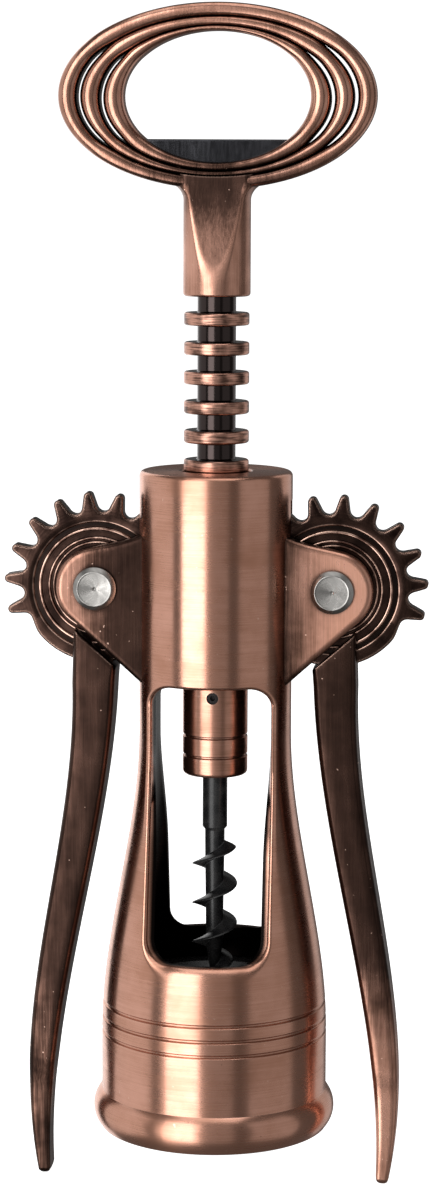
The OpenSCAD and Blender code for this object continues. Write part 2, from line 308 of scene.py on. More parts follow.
class Paint:
    """A node material under construction: most methods add nodes and return a socket."""

    def __init__(self, name):
        self.material = bpy.data.materials.new(name)
        self.material.use_nodes = True
        self.tree = self.material.node_tree
        self.shader = self.tree.nodes["Principled BSDF"]
        self.position = self.node("TexCoord")["Object"]

    def plug(self, source, socket):
        if isinstance(source, (int, float, tuple)):
            socket.default_value = source
        else:
            self.tree.links.new(source, socket)

    def node(self, kind, inputs=(), **settings):
        """Adds a node; inputs are pairs of a socket and what goes in. Returns its outputs."""
        made = self.tree.nodes.new("ShaderNode" + kind)
        for key, value in settings.items():
            setattr(made, key, value)
        for key, source in inputs:
            self.plug(source, made.inputs[key])
        return made.outputs

    def math(self, operation, a, b=0.0):
        return self.node("Math", ((0, a), (1, b)), operation=operation)[0]

    def add(self, a, b):
        return self.math("ADD", a, b)

    def minus(self, a, b):
        return self.math("SUBTRACT", a, b)

    def times(self, a, b):
        return self.math("MULTIPLY", a, b)

    def vector(self, operation, a, b=(0.0, 0.0, 0.0)):
        outputs = self.node("VectorMath", ((0, a), (1, b)), operation=operation)
        return outputs["Value" if operation in ("DOT_PRODUCT", "LENGTH") else "Vector"]

    def flat(self):
        """The place on the object without its height."""
        return self.vector("MULTIPLY", self.position, (1.0, 1.0, 0.0))

    def from_axis(self):
        """Distance from the Z axis."""
        return self.vector("LENGTH", self.flat())

    def height(self):
        return self.split(self.position)[2]

    def split(self, vector):
        return self.node("SeparateXYZ", ((0, vector),))

    def combine(self, x, y=0.0, z=0.0):
        return self.node("CombineXYZ", ((0, x), (1, y), (2, z)))[0]

    def noise(self, vector=None, scale=1.0, detail=2.0, rough=0.5):
        return self.node("TexNoise", (("Vector", vector or self.position), ("Scale", scale),
                                      ("Detail", detail), ("Roughness", rough)))["Fac"]

    def ramp(self, factor, low, high, to_low=0.0, to_high=1.0):
        """Rescales a value smoothly from low..high to to_low..to_high."""
        return self.node("MapRange", (("Value", factor), ("From Min", low), ("From Max", high),
                                      ("To Min", to_low), ("To Max", to_high)),
                         interpolation_type="SMOOTHSTEP")["Result"]

    def ramp_mm(self, length, low, high, to_low=0.0, to_high=1.0):
        """The same for a length, with low and high in mm."""
        return self.ramp(length, low * MM, high * MM, to_low, to_high)

    def plateau(self, length, start, full, end, gone):
        """0 outside start..gone and 1 from full to end, all in mm."""
        return self.times(self.ramp_mm(length, start, full), self.ramp_mm(length, gone, end))

    def mix(self, factor, a, b):
        a, b = (c + (1.0,) if isinstance(c, tuple) else c for c in (a, b))
        return self.node("Mix", (("Factor", factor), ("A", a), ("B", b)),
                         data_type="RGBA")["Result"]

    def hollows(self, distance):
        """0 on open surfaces, 1 deep in grooves and corners."""
        reach = (("Distance", distance * MM),)
        return self.minus(1.0, self.node("AmbientOcclusion", reach, samples=RAY_SAMPLES)["AO"])

    def edges(self, radius):
        """1 along rounded and sharp edges, 0 on open surfaces."""
        rounded = self.node("Bevel", (("Radius", radius * MM),), samples=RAY_SAMPLES)["Normal"]
        surface = self.node("NewGeometry")["Normal"]
        return self.ramp(self.vector("DOT_PRODUCT", rounded, surface), 0.997, 0.93)

    def below_skin(self):
        """1 on the frame's inner surfaces and deep in its windows, 0 on its outer skin; where painted shade goes.
        """
        height = self.height()
        skin = self.ramp_mm(height, FLARE_BOTTOM, FLARE_TOP, SKIRT_R * MM, BARREL_R * MM)
        depth = self.ramp_mm(self.minus(skin, self.from_axis()), WINDOW_ROUND,
                             WINDOW_ROUND + 0.6)
        return self.times(depth, self.ramp_mm(height, BARREL_TOP - 1.0, BARREL_TOP - 1.5))

    def level(self, low, high, below, above):
        """A value that goes from below to above between two heights, in mm."""
        return self.ramp_mm(self.height(), low, high, below, above)

    def away(self, start, end, before, after):
        """A value that goes from before to after between two distances from the axis, in mm."""
        return self.ramp_mm(self.from_axis(), start, end, before, after)

    def to_right(self, most=1.0):
        """0 on the left half of the object, most on the right, blended near the middle."""
        return self.ramp_mm(self.split(self.position)[0], -5.0, 5.0, 0.0, most)

    def surface(self, colour, rough, metallic=1.0):
        """What the shader shows: a colour, a roughness and whether it is metal."""
        for name, source in (("Base Color", colour), ("Roughness", rough),
                             ("Metallic", metallic)):
            self.plug(source, self.shader.inputs[name])

    def brushed(self, amount, axis):
        """Stretches the highlights as on metal turned round an axis."""
        self.shader.inputs["Anisotropic"].default_value = amount
        tangent = self.node("Tangent", direction_type="RADIAL", axis=axis)[0]
        self.plug(tangent, self.shader.inputs["Tangent"])

    def bump(self, height, strength, distance):
        made = self.node("Bump", (("Strength", strength), ("Distance", distance * MM),
                                  ("Height", height)))
        self.plug(made["Normal"], self.shader.inputs["Normal"])

    def around(self, turns, rise):
        """Coordinates whose noise runs in streaks round the Z axis."""
        unit = self.split(self.vector("NORMALIZE", self.flat()))
        height = self.times(self.height(), rise)
        return self.combine(self.times(unit[0], turns), self.times(unit[1], turns), height)

    def along(self, across, length):
        """Coordinates whose noise runs in streaks up and down."""
        return self.vector("MULTIPLY", self.position, (across, across, length))


PALE_COPPER = (0.88, 0.58, 0.46)
COPPER = (0.76, 0.41, 0.305)
DEEP_COPPER = (0.56, 0.275, 0.185)
BROWN = (0.135, 0.072, 0.054)
DARK_BROWN = (0.040, 0.022, 0.017)
# Near-black, for patina and for painted shade.
PATINA_AND_SHADE = (0.012, 0.009, 0.008)


def copper(name, grain, age=0.1, rough=0.30, shine=0.6, edge=0.5, hollow=2.0, hollow_dark=0.93,
           dim=1.0, inside=False):
    """Copper plating with dark patina and painted shade in the hollows, and rubbed edges with a painted highlight.

    grain is "around" or "along"; age is how much brown patina covers the open surface, from
    0 to 1, or a function that gives it from the Paint, some adding painted light and shade;
    hollow_dark is how dark the hollows go, patina with painted shade; dim darkens the patina;
    inside paints the frame's inner surfaces black as painted shade.
    """
    p = Paint(name)
    if grain == "around":
        fine = p.noise(p.around(1.2, 5200), detail=3.0, rough=0.6)
        coarse = p.noise(p.around(0.8, 700))
    else:
        fine = p.noise(p.along(4800, 120), detail=3.0, rough=0.6)
        coarse = p.noise(p.along(700, 50))
    cloud = p.noise(scale=110.0, detail=4.0, rough=0.6)
    tone = p.add(p.times(fine, 0.28), p.add(p.times(coarse, 0.17), p.times(cloud, 0.55)))
    clean = p.mix(p.ramp(tone, 0.32, 0.68), DEEP_COPPER, COPPER)
    aged = p.mix(p.ramp(tone, 0.34, 0.68), tuple(dim * c for c in DARK_BROWN),
                 tuple(dim * c for c in BROWN))
    # Darker in the hollows: patina together with painted shade.
    hidden = p.hollows(hollow)
    local_age = age(p) if callable(age) else age
    cover = p.add(p.minus(local_age, tone), p.times(hidden, 0.6))
    metal = p.mix(p.ramp(cover, -0.35, 0.35), clean, aged)
    specks = p.noise(scale=1500.0, detail=1.0)
    metal = p.mix(p.ramp(specks, 0.775, 0.79, 0.0, 0.7), metal, PALE_COPPER)
    pits = p.noise(scale=1100.0, detail=2.0)
    metal = p.mix(p.ramp(pits, 0.22, 0.19, 0.0, 0.6), metal, PATINA_AND_SHADE)
    # Edges go pale copper: rubbed wear together with a painted highlight.
    metal = p.mix(p.times(p.edges(0.4), edge), metal, PALE_COPPER)
    # The hollows go near-black: patina together with painted shade.
    deep = p.add(hidden, p.times(cloud, 0.12))
    metal = p.mix(p.ramp(deep, 0.42, 0.82, 0.0, hollow_dark), metal, PATINA_AND_SHADE)
    if inside:
        # Painted shade: the frame's inner surfaces and window walls go near-black.
        metal = p.mix(p.below_skin(), metal, PATINA_AND_SHADE)
    p.surface(metal, p.ramp(tone, 0.3, 0.7, rough + 0.07, rough - 0.05))
    p.brushed(shine, "Z")
    turned = 0.25 if grain == "around" else 0.0
    p.plug(turned, p.shader.inputs["Anisotropic Rotation"])
    p.bump(fine, 0.05, 0.02)
    return p.material


def ear_patina_and_light(p):
    """Patina on the ears, with painted shade near the barrel and painted light making the right-hand pair lighter.
    """
    # Painted light: the right-hand ears get less patina, so they look lighter.
    right = p.to_right(0.44)
    # Painted shade: more patina close to the barrel, less further out.
    return p.minus(p.away(12.0, 25.0, 1.05, 0.50), right)


def oval_patina_and_shade(p):
    """Patina on the oval, with painted shade added at its foot above the neck."""
    # Painted shade: extra darkening at the oval's foot, where it meets the neck.
    foot = p.times(p.away(8.0, 20.0, 0.26, 0.0), p.level(156.0, 164.0, 1.0, 0.0))
    return p.add(foot, 0.42)


def neck_patina_and_shade(p):
    """Patina on the neck, thicker on its facets, with painted shade towards the oval."""
    facet = p.away(4.9, 5.3, 0.66, 0.36)
    # Painted shade: darker towards the oval, where the neck meets it.
    crown = p.level(153.5, 156.0, 0.0, 0.4)
    return p.add(p.add(facet, crown), p.level(145.0, 156.0, 0.0, 0.26))


def wing_patina_and_light(p):
    """Patina on the wings, lighter towards the tips as a painted reflection, and lighter still low on the
    right-hand wing.
    """
    # Painted reflection: less patina low down; the right-hand wing is lighter still there.
    right_tips_lighter = p.times(p.to_right(), p.level(6.0, 38.0, 0.34, 0.05))
    return p.minus(p.level(6.0, 38.0, 0.74, 0.97), right_tips_lighter)


def gear_copper(name, side):
    """Dark copper; raised rings round the pivot rubbed pale with a painted highlight, and a painted highlight on
    the teeth edges.
    """
    p = Paint(name)
    place = p.vector("SUBTRACT", p.position, (side * PIVOT_X * MM, 0.0, PIVOT_Z * MM))
    radius = p.vector("LENGTH", p.vector("MULTIPLY", place, (1.0, 0.0, 1.0)))
    cloud = p.noise(scale=260.0, detail=4.0, rough=0.6)
    fine = p.noise(p.combine(p.times(radius, 3800.0)))
    tone = p.add(p.times(fine, 0.35), p.times(cloud, 0.65))
    metal = p.mix(p.ramp(tone, 0.36, 0.66), (0.014, 0.008, 0.0065), (0.062, 0.034, 0.026))
    # Pale copper for the raised rings and the brim: rubbed wear with a painted highlight.
    rubbed = p.mix(p.ramp(cloud, 0.36, 0.60), BROWN, PALE_COPPER)
    for low, high in GEAR_RINGS:
        ring = p.plateau(radius, low - 0.10, low + 0.04, high - 0.04, high + 0.10)
        metal = p.mix(p.times(ring, 0.8), metal, rubbed)
    brink = p.plateau(radius, 10.30, 10.45, 10.60, 10.75)
    metal = p.mix(p.times(brink, 0.55), metal, rubbed)
    # The groove inside the brim goes near-black: patina with painted shade.
    trough = p.plateau(radius, 9.75, 9.85, 10.30, 10.45)
    metal = p.mix(p.times(trough, 0.8), metal, PATINA_AND_SHADE)
    # Painted highlight along the teeth edges.
    toothed = p.ramp_mm(radius, 11.2, 11.9)
    metal = p.mix(p.times(p.edges(0.6), toothed), metal, PALE_COPPER)
    p.surface(metal, p.ramp(tone, 0.3, 0.7, 0.27, 0.19))
    p.bump(fine, 0.05, 0.02)
    return p.material


def rack_copper(name):
    """Copper on the rings' edges, dark glossy metal on the core and between the rings."""
    p = Paint(name)
    axes = p.split(p.position)
    radius = p.math("SQRT", p.add(p.times(axes[0], axes[0]), p.times(axes[1], axes[1])))
    cloud = p.noise(scale=420.0, detail=3.0)
    fine = p.noise(p.around(1.6, 5200))
    tone = p.add(p.times(fine, 0.5), p.times(cloud, 0.5))
    rubbed = p.mix(p.ramp(tone, 0.38, 0.62), BROWN, COPPER)
    reach = p.add(radius, p.times(cloud, 0.5 * MM))
    out = p.ramp_mm(reach, 4.6, 5.35)
    core = p.mix(out, (0.055, 0.042, 0.040), rubbed)
    p.surface(core, p.ramp(out, 0.0, 1.0, 0.16, 0.30))
    p.bump(fine, 0.08, 0.03)
    return p.material


def turned_metal(name, colour, rough, centre):
    """Bright metal with fine turning marks round an axis along Y."""
    p = Paint(name)
    place = p.vector("SUBTRACT", p.position, (centre[0] * MM, 0.0, centre[1] * MM))
    flat = p.vector("MULTIPLY", place, (1.0, 0.0, 1.0))
    radius = p.vector("LENGTH", flat)
    unit = p.vector("NORMALIZE", flat)
    marks = p.noise(p.combine(p.times(radius, 14000.0)))
    wipe = p.noise(p.vector("ADD", p.vector("MULTIPLY", unit, (1.5, 0.0, 1.5)),
                            p.combine(p.times(radius, 600.0))))
    grime = p.noise(place, scale=700.0, detail=3.0)
    tone = p.add(p.times(marks, 0.4), p.times(wipe, 0.6))
    dull = tuple(0.62 * c for c in colour)
    metal = p.mix(p.ramp(tone, 0.35, 0.62), dull, colour)
    metal = p.mix(p.ramp(grime, 0.66, 0.74, 0.0, 0.5), metal, (0.30, 0.22, 0.18))
    # Painted shade: the hollows of the head go dark brown.
    metal = p.mix(p.ramp(p.hollows(0.8), 0.35, 0.8, 0.0, 0.7), metal, (0.12, 0.09, 0.08))
    p.surface(metal, p.ramp(tone, 0.3, 0.7, rough + 0.08, rough - 0.05))
    p.brushed(0.75, "Y")
    p.bump(marks, 0.12, 0.02)
    return p.material


def gunmetal(name, colour, rough):
    """Dark polished metal, faintly clouded."""
    p = Paint(name)
    cloud = p.noise(scale=260.0, detail=4.0, rough=0.6)
    scratch = p.noise(p.along(2600, 300))
    light = tuple(min(1.0, 2.2 * c) for c in colour)
    metal = p.mix(p.ramp(cloud, 0.35, 0.7, 0.0, 0.6), colour, light)
    # Painted highlight: the edges go lighter.
    metal = p.mix(p.times(p.edges(0.3), 0.5), metal, light)
    p.surface(metal, p.ramp(scratch, 0.3, 0.7, rough + 0.08, rough))
    p.bump(scratch, 0.06, 0.02)
    return p.material


def black_coating(name):
    """Satin black non-stick coating with a fine grain, and rubbed edges with a painted highlight."""
    p = Paint(name)
    grain = p.noise(scale=5200.0)
    cloud = p.noise(scale=500.0, detail=3.0)
    colour = p.mix(p.ramp(cloud, 0.35, 0.7), (0.006, 0.006, 0.0065), (0.018, 0.0175, 0.0175))
    # Edges go lighter grey: rubbed wear together with a painted highlight.
    colour = p.mix(p.times(p.edges(0.15), 0.5), colour, (0.09, 0.09, 0.09))
    p.surface(colour, p.ramp(grain, 0.3, 0.7, 0.36, 0.24), metallic=0.0)
    p.shader.inputs["Specular IOR Level"].default_value = 0.45
    p.bump(grain, 0.18, 0.02)
    return p.material


def moulded_plastic(name):
    """Black plastic, slightly glossy, with a faint mould texture."""
    p = Paint(name)
    grain = p.noise(scale=1900.0)
    cloud = p.noise(scale=150.0)
    colour = p.mix(cloud, (0.010, 0.010, 0.011), (0.020, 0.019, 0.019))
    p.surface(colour, p.ramp(grain, 0.3, 0.7, 0.30, 0.20), metallic=0.0)
    p.bump(grain, 0.05, 0.03)
    return p.material


# ---- frame casting

def skirt_radius(z):
    """Outer radius of the plain casting: barrel, flare and skirt."""
    share = smoothstep((FLARE_TOP - z) / (FLARE_TOP - FLARE_BOTTOM))
    return BARREL_R + (SKIRT_R - BARREL_R) * share


def outer_radius(z):
    """Outer radius with the bead, the three grooves and the shoulder."""
    bead_r, bead_z = 4.2, 3.1
    radius = skirt_radius(z)
    for groove in GROOVES:
        radius -= GROOVE_DEPTH * exp(-((z - groove) / GROOVE_HALF) ** 4)
    if z < bead_z + bead_r:
        bead = BEAD_OUT - bead_r + sqrt(max(0.0, bead_r ** 2 - (z - bead_z) ** 2))
        radius = max(radius, bead)
    if z > BARREL_TOP - SHOULDER:
        rise = z - (BARREL_TOP - SHOULDER)
        radius = BARREL_R - SHOULDER + sqrt(max(0.0, SHOULDER ** 2 - rise ** 2))
    return radius


def inner_radius(z):
    return skirt_radius(z) - WALL


WINDOW_FLAT_STEPS = 14
WINDOW_CORNER_STEPS = 10
WINDOW_SIDE_STEPS = 34
STRIP_STEPS = 26
INNER_ROUND = 0.3


def window_edge(grow, half=lambda z: WINDOW_HALF):
    """Half of a window's outline as (sideways, height), from the bottom's middle to the top's.

    grow widens the outline, most at the bottom; half(z) is half its width before that.
    """
    aside = grow * GROW_ASIDE
    low_z = WINDOW_BOTTOM - grow * GROW_DOWN
    high_z = WINDOW_TOP + grow * GROW_UP
    corner_x = WINDOW_CORNER + aside
    low_corner = WINDOW_CORNER + grow * GROW_DOWN
    high_corner = WINDOW_CORNER + grow * GROW_UP
    low_flat = half(low_z) - WINDOW_CORNER
    high_flat = half(high_z) - WINDOW_CORNER
    points = [(low_flat * k / WINDOW_FLAT_STEPS, low_z) for k in range(WINDOW_FLAT_STEPS + 1)]
    points += [(low_flat + corner_x * sin(a), low_z + low_corner * (1 - cos(a)))
               for a in quarter_turn(WINDOW_CORNER_STEPS)[1:]]
    sides = spaced(low_z + low_corner, high_z - high_corner, WINDOW_SIDE_STEPS)[1:-1]
    points += [(half(z) + aside, z) for z in sides]
    points += [(high_flat + corner_x * cos(a), high_z - high_corner * (1 - sin(a)))
               for a in quarter_turn(WINDOW_CORNER_STEPS)]
    points += [(high_flat * (1 - k / WINDOW_FLAT_STEPS), high_z)
               for k in range(1, WINDOW_FLAT_STEPS + 1)]
    return points


def inner_half(z):
    """Half the window's width at the inner surface, narrower low down."""
    narrow, gain, start, length = 8.65, 0.8, 46, 20
    return narrow + gain * smoothstep((z - start) / length)


def on_surface(edge, radius):
    """Turns (sideways, height) into (angle from the front, height) on a surface."""
    widest = 0.985
    return [(asin(min(widest, x / radius(z))), z) for x, z in edge]


def at_angle(radius, angle, z):
    """A point of the quarter between the front and the right-hand side."""
    return (radius * sin(angle), -radius * cos(angle), z)


def casting_quarter():
    """A quarter of the turned casting with half of the front window."""
    shape = Shape()
    outer_edge = on_surface(window_edge(WINDOW_ROUND), skirt_radius)
    inner_edge = on_surface(window_edge(INNER_ROUND, inner_half), inner_radius)
    side = pi / 2

    def loop(edge, radius):
        return [at_angle(radius(z), angle, z) for angle, z in on_surface(edge, radius)]

    loops = [loop(window_edge(WINDOW_ROUND * (1 - sin(a))),
                  lambda z: skirt_radius(z) - WINDOW_ROUND * (1 - cos(a)))
             for a in quarter_turn(7)]
    loops += [loop(window_edge(INNER_ROUND * (1 - cos(a)), inner_half),
                   lambda z: inner_radius(z) + INNER_ROUND * (1 - sin(a)))
              for a in quarter_turn(4)]
    shape.grid(loops)

    first = WINDOW_FLAT_STEPS
    last = len(outer_edge) - 1 - WINDOW_FLAT_STEPS
    for edge, radius in ((outer_edge, outer_radius), (inner_edge, inner_radius)):
        shape.grid([[at_angle(radius(z), a, z) for a in spaced(angle, side, STRIP_STEPS)]
                    for angle, z in edge[first:last + 1]])

    def band(profile, start_edge, end_edge):
        """The casting above or below the window, from its outer to its inner edge."""
        start_angles = [a for a, _ in start_edge]
        end_angles = [a for a, _ in end_edge]
        rows = []
        for i, (radius, z) in enumerate(profile):
            share = i / (len(profile) - 1)
            angles = [lerp(a, b, share) for a, b in zip(start_angles, end_angles)]
            angles += spaced(angles[-1], side, STRIP_STEPS)[1:]
            rows.append([at_angle(radius, a, z) for a in angles])
        shape.grid(rows)

    band(below_profile(), outer_edge[:first + 1], inner_edge[:first + 1])
    band(above_profile(), outer_edge[last:][::-1], inner_edge[last:][::-1])
    return shape


def below_profile():
    """From the window's lower outer edge down round the foot and up to its inner edge."""
    top, step = WINDOW_BOTTOM - WINDOW_ROUND * GROW_DOWN, 0.45
    heights = {top - step * k for k in range(int(top / step) + 1)}
    for groove in GROOVES:
        heights |= {groove + 0.06 * k for k in range(-9, 10)}
    heights |= {5.4 + 0.08 * k for k in range(14)}
    foot = 0.5
    outside = [(outer_radius(z), z) for z in sorted(heights, reverse=True) if z > foot]
    foot_r = outer_radius(foot)
    mouth = filleted([(foot_r, foot), (foot_r - 0.35, 0), (SOCKET_R + 0.6, 0), (SOCKET_R, 0.6),
                      (SOCKET_R, SEAT_LOW.z), (SEAT_HIGH.x, SEAT_LOW.z),
                      (SEAT_HIGH.x, SEAT_HIGH.z), (inner_radius(SEAT_HIGH.z), SEAT_HIGH.z)],
                     [0, 0.3, 0.25, 0.25, 0, 0, 0, 0])
    bottom = WINDOW_BOTTOM - INNER_ROUND * GROW_DOWN
    inside = [(inner_radius(z), z) for z in spaced(SEAT_HIGH.z, bottom, 6)[1:]]
    return outside + mouth + inside


def above_profile():
    """From the window's upper outer edge over the top, down the bore, to its inner edge."""
    low = WINDOW_TOP + WINDOW_ROUND * GROW_UP
    shoulder_z = BARREL_TOP - SHOULDER
    outside = [(outer_radius(z), z) for z in spaced(low, shoulder_z, 22)]
    shoulder = [(BARREL_R - SHOULDER + SHOULDER * cos(a),
                 shoulder_z + SHOULDER * sin(a)) for a in quarter_turn(7)[1:]]
    over = filleted([(BARREL_R - SHOULDER - 0.01, BARREL_TOP), (GUIDE_R, BARREL_TOP),
                     (GUIDE_R, CAVITY_TOP), (inner_radius(CAVITY_TOP), CAVITY_TOP),
                     (inner_radius(CAVITY_TOP), WINDOW_TOP + INNER_ROUND * GROW_UP)],
                    [0, 0.45, 0.3, 0.5, 0])
    return outside + shoulder + over


def gear_slots():
    """The two discs that clear the gears out of the barrel."""
    room_r, half = 15.95, EAR_INNER
    shape = Shape()
    for side in (-1, 1):
        disc = Shape()
        disc.rings([circle(room_r, 96, z) for z in (-half, half)])
        disc.mapped(to_front(side * PIVOT_X, PIVOT_Z))
        shape.add(disc.verts, disc.faces)
    return shape


def back_window_drop(y, z):
    """How far the foot of the back window sits below the front one's."""
    share = smoothstep((z - 22.0) / 7.0) * smoothstep((60.0 - z) / 25.0)
    return BACK_WINDOW_DROP * share * smoothstep(y / 6.0)


def frame_casting(material):
    quarter = casting_quarter()
    shape = Shape()
    shape.four_ways(quarter.verts, quarter.faces, back_window_drop)
    piece("frame_casting", shape, "frame", material,
          nodes=["frame_body"], carve=gear_slots())


def tangent_angle(centre, radius, point, side):
    """Where round a circle a line from a point touches it."""
    dx, dz = point[0] - centre[0], point[1] - centre[1]
    return atan2(dz, dx) + side * acos(radius / hypot(dx, dz))


def ear_outline(inset):
    """A left-hand ear, drawn in by an inset; its root stays inside the barrel."""
    centre = (-PIVOT_X, PIVOT_Z)
    radius = EAR_R - inset
    high_slope, low_slope, hollow = 1.15, 1.35, 0.5
    high = (-EAR_ROOT_X, EAR_HIGH_Z - inset * high_slope)
    low = (-EAR_ROOT_X, EAR_LOW_Z + inset * low_slope)
    high_angle = tangent_angle(centre, radius, high, 1)
    low_angle = tangent_angle(centre, radius, low, -1)
    low_angle += FULL_TURN if low_angle < high_angle else 0.0
    nose = [(centre[0] + radius * cos(a), centre[1] + radius * sin(a))
            for a in spaced(high_angle, low_angle, 28)]
    upper = [(lerp(high[0], nose[0][0], k / 5), lerp(high[1], nose[0][1], k / 5)
              - hollow * sin(pi * k / 5) * (1 - k / 5)) for k in range(5)]
    lower = [(lerp(nose[-1][0], low[0], k / 5), lerp(nose[-1][1], low[1], k / 5))
             for k in range(1, 6)]
    return upper + nose + lower + [(-EAR_HIDDEN_X, low[1]), (-EAR_HIDDEN_X, high[1])]


def frame_ears(material):
    """Four ears, two to each pivot, with rounded outer rims."""
    rim_in, rim_drop = 1.05, 0.78
    rim = [(rim_in * (1 - sin(a)), rim_drop * (1 - cos(a))) for a in quarter_turn(5)]
    layers = [(0.15, EAR_INNER), (0.0, EAR_INNER + 0.15)]
    layers += [(inset, EAR_OUTER - drop) for inset, drop in reversed(rim)]
    ear, shape = Shape(), Shape()
    ear.slab(ear_outline, layers)
    shape.four_ways(ear.verts, ear.faces)
    piece("frame_ears", shape, "frame", material)


def rivets():
    """The bright turned heads at both ends of both pivots."""
    profile = filleted([(0.0, 0.0), (3.5, 0.0), (3.5, 0.58), (2.78, 1.17), (2.56, 1.10),
                        (0.0, 1.02)], [0, 0, 0.16, 0.2, 0.12, 0])
    head = profile[:-1] + [(0.34, 1.02), (0.12, 0.84), (0.0, 0.82)]
    shank_r, shank_length = 1.95, 7.6
    shank = [(0.0, -shank_length), (shank_r, -shank_length), (shank_r, 0.0)]
    for label, sx in (("left", -1), ("right", 1)):
        metal = turned_metal(label + "_rivet_metal", (0.44, 0.425, 0.405), 0.26,
                             (sx * PIVOT_X, PIVOT_Z))
        for end, sy in (("front", -1), ("back", 1)):
            shape = Shape()
            points = (shank if end == "front" else [(0.0, 0.0)]) + head[1:]
            shape.lathe(points, 96, closed=False)
            shape.mapped(lambda v: (sx * PIVOT_X + v[0], sy * (EAR_OUTER + v[2]), PIVOT_Z + v[1]))
            name = f"{label}_rivet_{end}"
            piece(name + "_turned", shape, "frame", metal, nodes=[name],
                  sharp_angle=30)


def bottle_seat(material):
    low, high = SEAT_LOW.z, SEAT_HIGH.z
    outer = SEAT_HIGH.x
    profile = filleted([(9.5, low), (outer - 0.02, low), (outer - 0.02, high), (12.6, high),
                        (9.5, high - 2.0)], [0.35, 0.1, 0.3, 0.5, 0.3])
    shape = Shape()
    shape.lathe(profile, 128)
    piece("bottle_seat_ring", shape, "frame", material,
          nodes=["bottle_seat"])


# ---- levers

TOOTH_STEP = radians(20)
FIRST_TOOTH = radians(-23.9)
TEETH = 12
TIP_R = 15.32
ROOT_R = 12.1
BACK_R = 12.6
GEAR_HALF = 1.5


def tooth_half():
    """Half a tooth, from its tip to the middle of the gap, as (sideways, outwards)."""
    tip = 0.74
    top = TIP_R - tip
    points = [(tip * sin(a), top + tip * cos(a))
              for a in (radians(82) * k / 7 for k in range(8))]
    half_step = TOOTH_STEP / 2
    root = [(1.08, 13.25), (1.20, 12.50), (1.50, 12.08),
            (ROOT_R * sin(half_step), ROOT_R * cos(half_step))]
    return points + [bezier(root, k / 8) for k in range(9)]


def gear_outline():
    """The toothed edge as (x, z) points, anticlockwise round the pivot."""
    half = tooth_half()
    tooth = list(reversed(half)) + [(-u, v) for u, v in half[1:-1]]
    points = []
    for i in range(TEETH):
        angle = FIRST_TOOTH + i * TOOTH_STEP
        for u, v in tooth:
            points.append((v * cos(angle) + u * sin(angle),
                           v * sin(angle) - u * cos(angle)))
    start = FIRST_TOOTH + (TEETH - 0.5) * TOOTH_STEP
    plain = FULL_TURN - TEETH * TOOTH_STEP
    for k in range(40):
        swell = smoothstep(k / 5) * smoothstep((40 - k) / 5)
        radius = lerp(ROOT_R, BACK_R, swell)
        angle = start + plain * k / 40
        points.append((radius * cos(angle), radius * sin(angle)))
    return points


def inset_outline(points, inset):
    """Each point moved inwards, along the mean normal of its two sides."""
    count = len(points)
    out = []
    for i, (x, z) in enumerate(points):
        ax, az = points[i - 1]
        bx, bz = points[(i + 1) % count]
        length = hypot(bx - ax, bz - az) or 1.0
        out.append((x - inset * (bz - az) / length, z + inset * (bx - ax) / length))
    return out


GEAR_RINGS = ((7.0, 7.25), (7.75, 8.0), (9.2, 9.55))


def gear_face():
    """Radii and depths of the gear's face: a sunk face with three fine raised rings."""
    hub, floor = GEAR_HALF - 0.2, GEAR_HALF - 0.32
    face = [(2.05, hub), (6.9, hub)]
    for low, high in GEAR_RINGS:
        face += [(low - 0.14, floor), (low - 0.02, GEAR_HALF - 0.05), (low + 0.06, GEAR_HALF),
                 (high - 0.06, GEAR_HALF), (high + 0.02, GEAR_HALF - 0.05), (high + 0.14, floor)]
    face += [(10.35, floor), (10.48, GEAR_HALF - 0.05), (10.6, GEAR_HALF), (11.5, GEAR_HALF)]
    return face


def lever_gear(label, side, material):
    outline = gear_outline()
    angles = [atan2(z, x) for x, z in outline]
    half = [([(r * cos(a), r * sin(a)) for a in angles], y) for r, y in gear_face()]
    half += [(inset_outline(outline, inset), GEAR_HALF - drop)
             for inset, drop in ((0.34, 0.0), (0.20, 0.04), (0.07, 0.15), (0.0, 0.34))]
    rings = [[(x, -y, z) for x, z in ring] for ring, y in half]
    rings += [[(x, y, z) for x, z in ring] for ring, y in reversed(half)]
    shape = Shape()
    shape.rings(rings, close_rings=True)
    place_lever(shape, side)
    piece(f"{label}_gear", shape, f"{label}_wing", material,
          nodes=[f"{label}_lever"], sharp_angle=50)


WING_OUT = ((-4.1, -15.8), (-3.4, -43.5), (-15.5, -69.8), (-10.1, -98.0))
WING_IN = ((3.1, -15.8), (2.0, -43.3), (-8.7, -69.6), (-7.85, -97.9))
WING_ROOT_OUT = (-3.8, -6.6)
WING_ROOT_IN = (3.3, -13.0)
WING_HALF_T = 3.8


def place_lever(shape, side):
    """Moves a left-hand lever's shape from its pivot to its place, or mirrors it."""
    shape.mapped(lambda v: (side * (PIVOT_X - v[0]), v[1], PIVOT_Z + v[2]))


def wing_thickness(z):
    """Half the wing's thickness at a height below the pivot."""
    thin = smoothstep((-78.5 - z) / 6.0)
    return WING_HALF_T - 0.75 * thin - 0.5 * smoothstep((-60 - z) / 38)


